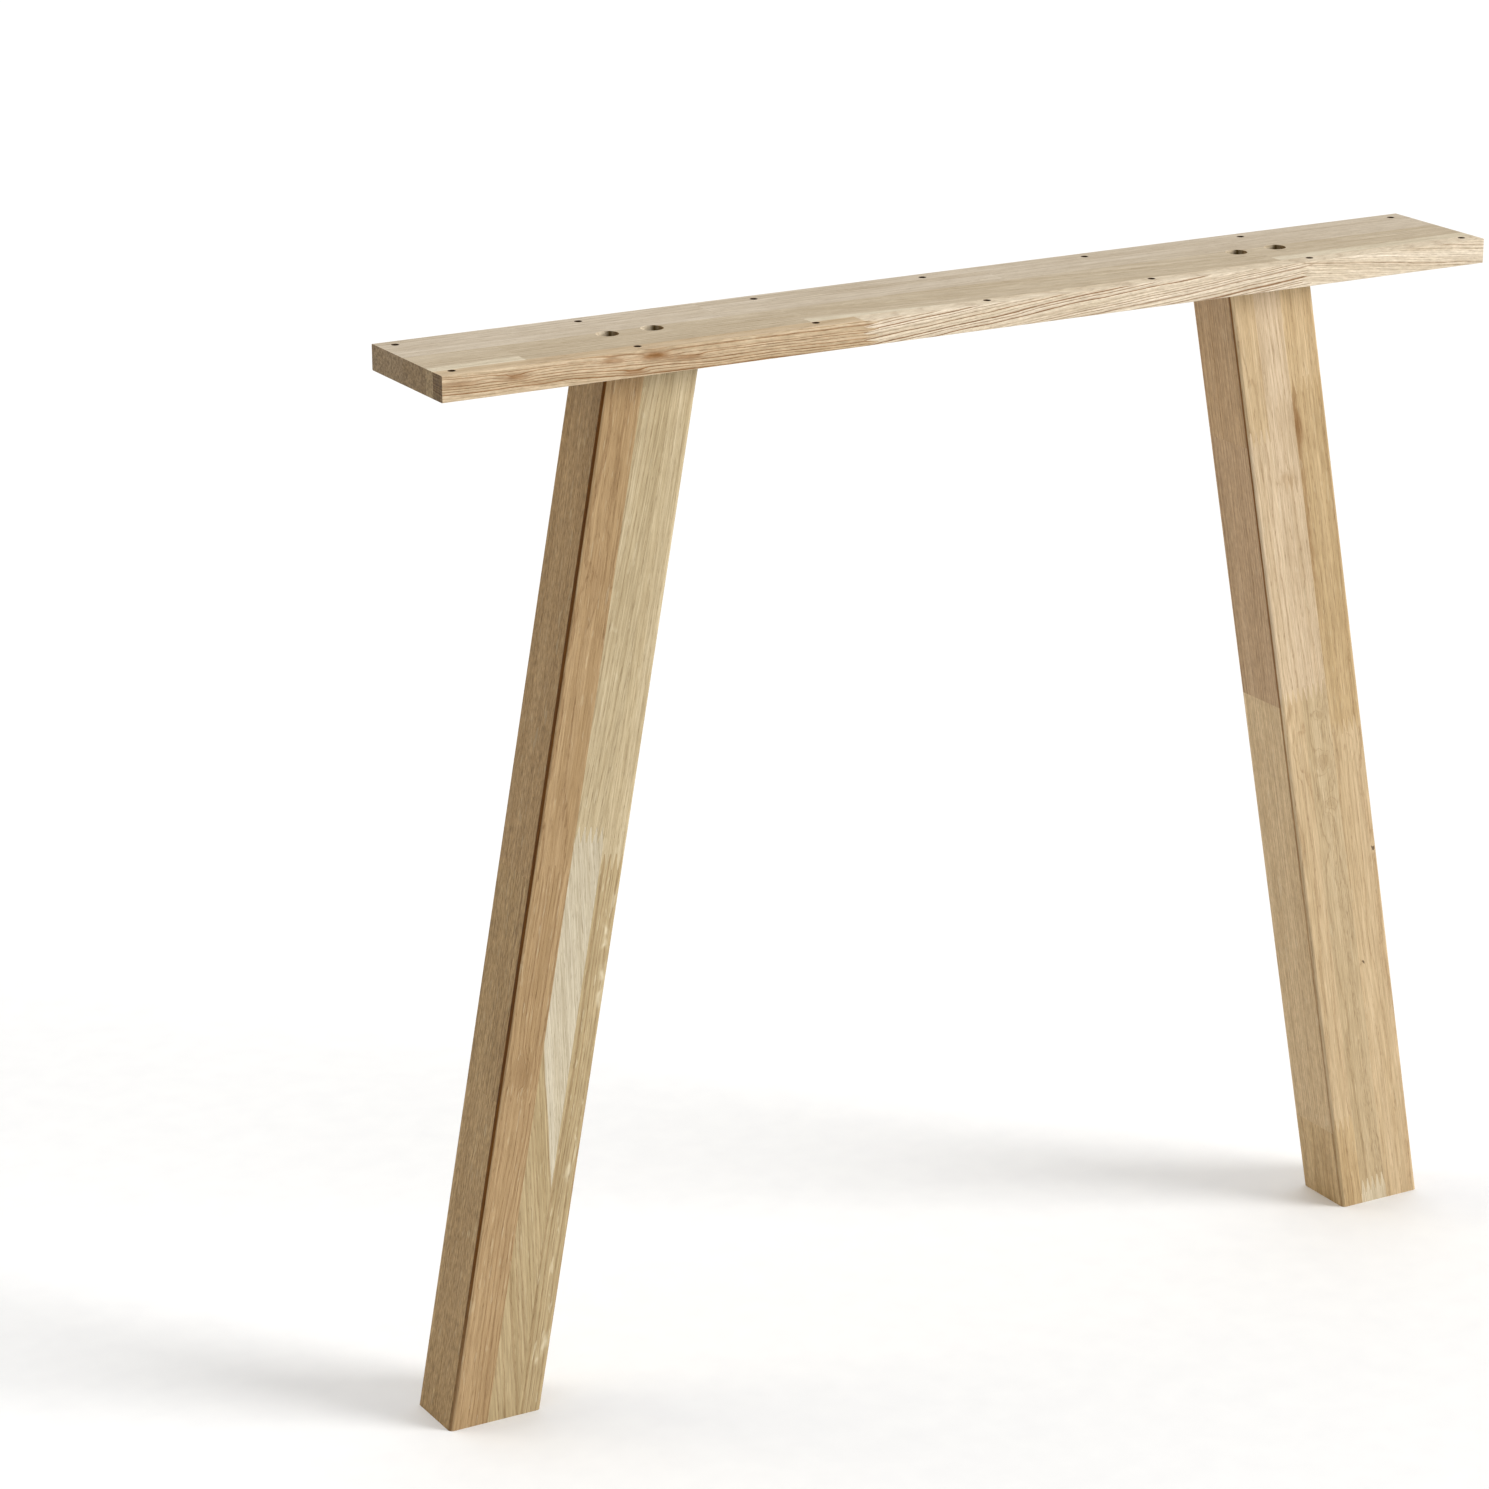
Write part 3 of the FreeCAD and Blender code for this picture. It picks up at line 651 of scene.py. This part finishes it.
def oak_material(node, seed):
    """The wood of one piece."""
    cut = {**PLAIN, **CUTS[node]}
    material, graph, shader = new_material(f"oak_{node}")
    grain, to_grain, pith = grain_mapping(graph, node, cut)
    oak = add_group(graph, OAK)
    light, deep, sap = WOODS[cut["wood"]]
    settings = {
        "Ring width": cut["rings"], "Warp": cut["warp"], "Contrast": cut["contrast"],
        "Fleck": cut["fleck"], "Seed": 1.0 + seed * SEED_GAP, "Sap radius": cut["sap"],
        "Light": light, "Deep": deep, "Sap": sap,
    }
    for name, value in settings.items():
        oak.inputs[name].default_value = value
    graph.feed(oak.inputs["Grain"], grain)
    graph.feed(oak.inputs["Knots"], add_knots(graph, node, cut, grain, to_grain, pith))

    facing = graph.node("ShaderNodeNewGeometry").outputs["True Normal"]
    axes = grain_frame(node)
    # Side faces take their tint of painted shade, and sawn ends take their own tint.
    colour, sideways = tint_faces(graph, oak.outputs["Colour"], facing, axes.col[0], cut["sides"])
    colour, end_on = tint_faces(graph, colour, facing, axes.col[2], cut["ends"])
    graph.feed(oak.inputs["End"], end_on)
    graph.feed(oak.inputs["Mottle"], graph.math("MULTIPLY", sideways, cut["mottle"]))
    colour = graph.mix(1.0, colour, local_tint(graph, node), "MULTIPLY")
    # The front stave's top gets plainer grain and a tint of painted shade.
    if "front_stave" in node:
        up_or_down = graph.math("ABSOLUTE", graph.vector("DOT_PRODUCT", facing, (0, 0, 1)))
        contrast = graph.span(up_or_down, 0.4, 0.8, cut["contrast"], FRONT_STAVE_TOP_CONTRAST)
        graph.feed(oak.inputs["Contrast"], contrast)
        colour, _ = tint_faces(graph, colour, facing, (0, 0, 1), FRONT_STAVE_TOP_SHADE)

    graph.feed(shader.inputs["Base Color"], colour)
    graph.feed(shader.inputs["Roughness"], oak.outputs["Roughness"])
    graph.feed(shader.inputs["Normal"], graph.bump(oak.outputs["Height"], 0.6, 0.15 * MM))
    shader.inputs["IOR"].default_value = 1.45
    shader.inputs["Specular IOR Level"].default_value = 0.2
    return material


# Metal

def metal_material(name, colour, roughness, grit):
    """Finished steel with fine uneven gloss and a little dulling in patches."""
    material, graph, shader = new_material(name)
    place = graph.place()
    fine = graph.noise(graph.vector("MULTIPLY", place, (4000, 4000, 4000)), detail=3.0)
    patch = graph.noise(graph.vector("MULTIPLY", place, (260, 260, 260)), detail=3.0)
    dulled = tuple(channel * 0.7 for channel in colour[:3]) + (1.0,)
    graph.feed(shader.inputs["Base Color"], graph.mix(patch, dulled, colour))
    rough = graph.math("MULTIPLY_ADD", fine, grit, roughness)
    graph.feed(shader.inputs["Roughness"], graph.math("MULTIPLY_ADD", patch, grit, rough))
    graph.feed(shader.inputs["Normal"], graph.bump(fine, 0.3, 0.03 * MM))
    shader.inputs["Metallic"].default_value = 1.0
    return material


def paint(node, material):
    """Give a CAD node its material."""
    for slot in frame["nodes"][node].material_slots:
        slot.material = material


def dress_object():
    for seed, node in enumerate(CUTS):
        paint(node, oak_material(node, seed))
    black_oxide = metal_material("black_oxide", srgb(52, 50, 48), roughness=0.34, grit=0.16)
    zinc_plate = metal_material("zinc_plate", srgb(186, 188, 192), roughness=0.24, grit=0.14)
    paint("fixing_screws", black_oxide)
    paint("screw_washers", zinc_plate)


# The studio

FLOOR_REACH = 14.0


def add_floor():
    mesh = bpy.data.meshes.new("floor")
    corners = [(x * FLOOR_REACH, y * FLOOR_REACH, 0) for x, y in ((-1, -1), (1, -1), (1, 1), (-1, 1))]
    mesh.from_pydata(corners, [], [(0, 1, 2, 3)])
    floor = bpy.data.objects.new("floor", mesh)
    bpy.context.scene.collection.objects.link(floor)
    material, graph, shader = new_material("floor_paper")
    tooth = graph.noise(graph.vector("MULTIPLY", graph.place(), (40, 40, 40)), detail=4.0)
    graph.feed(shader.inputs["Base Color"], graph.mix(tooth, srgb(242, 243, 245), srgb(249, 250, 251)))
    shader.inputs["Roughness"].default_value = 0.9
    shader.inputs["Specular IOR Level"].default_value = 0.1
    mesh.materials.append(material)


def add_sun(name, azimuth, elevation, spread, strength, colour, mirrored=True):
    """A large distant soft box. Azimuth is from the front, towards the right. Angles are in degrees.

    A light that isn't mirrored lights surfaces without showing in their gloss, as if polarised.
    """
    data = bpy.data.lights.new(name, "SUN")
    data.angle = math.radians(spread)
    data.energy = strength * math.pi
    data.color = colour
    light = bpy.data.objects.new(name, data)
    light.visible_glossy = mirrored
    bpy.context.scene.collection.objects.link(light)
    turn, rise = math.radians(azimuth), math.radians(elevation)
    level = math.cos(rise)
    towards = Vector((math.sin(turn) * level, -math.cos(turn) * level, math.sin(rise)))
    light.rotation_euler = towards.to_track_quat("Z", "Y").to_euler()


def add_lights():
    # The key would otherwise glare off the board's top when seen from behind.
    add_sun("key", azimuth=48, elevation=22, spread=30, strength=0.96, colour=(1.0, 0.985, 0.96),
            mirrored=False)
    add_sun("fill", azimuth=-128, elevation=25, spread=40, strength=0.26, colour=(1.0, 0.86, 0.62))
    add_sun("top", azimuth=160, elevation=75, spread=60, strength=0.42, colour=(0.97, 0.98, 1.0))
    world = bpy.data.worlds.new("studio")
    world.use_nodes = True
    backdrop = world.node_tree.nodes["Background"]
    backdrop.inputs["Color"].default_value = (1.0, 1.0, 1.0, 1.0)
    backdrop.inputs["Strength"].default_value = 0.3
    bpy.context.scene.world = world


# The camera's angles are measured as the lights' are. Distances are in metres, lens sizes in millimetres.
CAMERA_AZIMUTH = math.radians(-29.48)
CAMERA_ELEVATION = math.radians(18.2)
CAMERA_ROLL = math.radians(-0.18)
CAMERA_DISTANCE = 3.0321
CAMERA_TARGET = Vector((-0.1592, 0, 0.4315))
FOCAL_LENGTH = 111.2
SENSOR_WIDTH = 36


def add_camera():
    """Look at the trestle from its front left, a little from above."""
    back = Vector((
        math.sin(CAMERA_AZIMUTH) * math.cos(CAMERA_ELEVATION),
        -math.cos(CAMERA_AZIMUTH) * math.cos(CAMERA_ELEVATION),
        math.sin(CAMERA_ELEVATION),
    ))
    level = Vector((0, 0, 1)).cross(back).normalized()
    above = back.cross(level)
    right = level * math.cos(CAMERA_ROLL) + above * math.sin(CAMERA_ROLL)
    up = above * math.cos(CAMERA_ROLL) - level * math.sin(CAMERA_ROLL)
    data = bpy.data.cameras.new("camera")
    data.sensor_width = SENSOR_WIDTH
    data.lens = FOCAL_LENGTH
    camera = bpy.data.objects.new("camera", data)
    bpy.context.scene.collection.objects.link(camera)
    turn = Matrix((right, up, back)).transposed().to_4x4()
    camera.matrix_world = Matrix.Translation(CAMERA_TARGET + back * CAMERA_DISTANCE) @ turn
    bpy.context.scene.camera = camera


dress_object()
add_floor()
add_lights()
add_camera()
bpy.context.scene.view_settings.view_transform = "Standard"
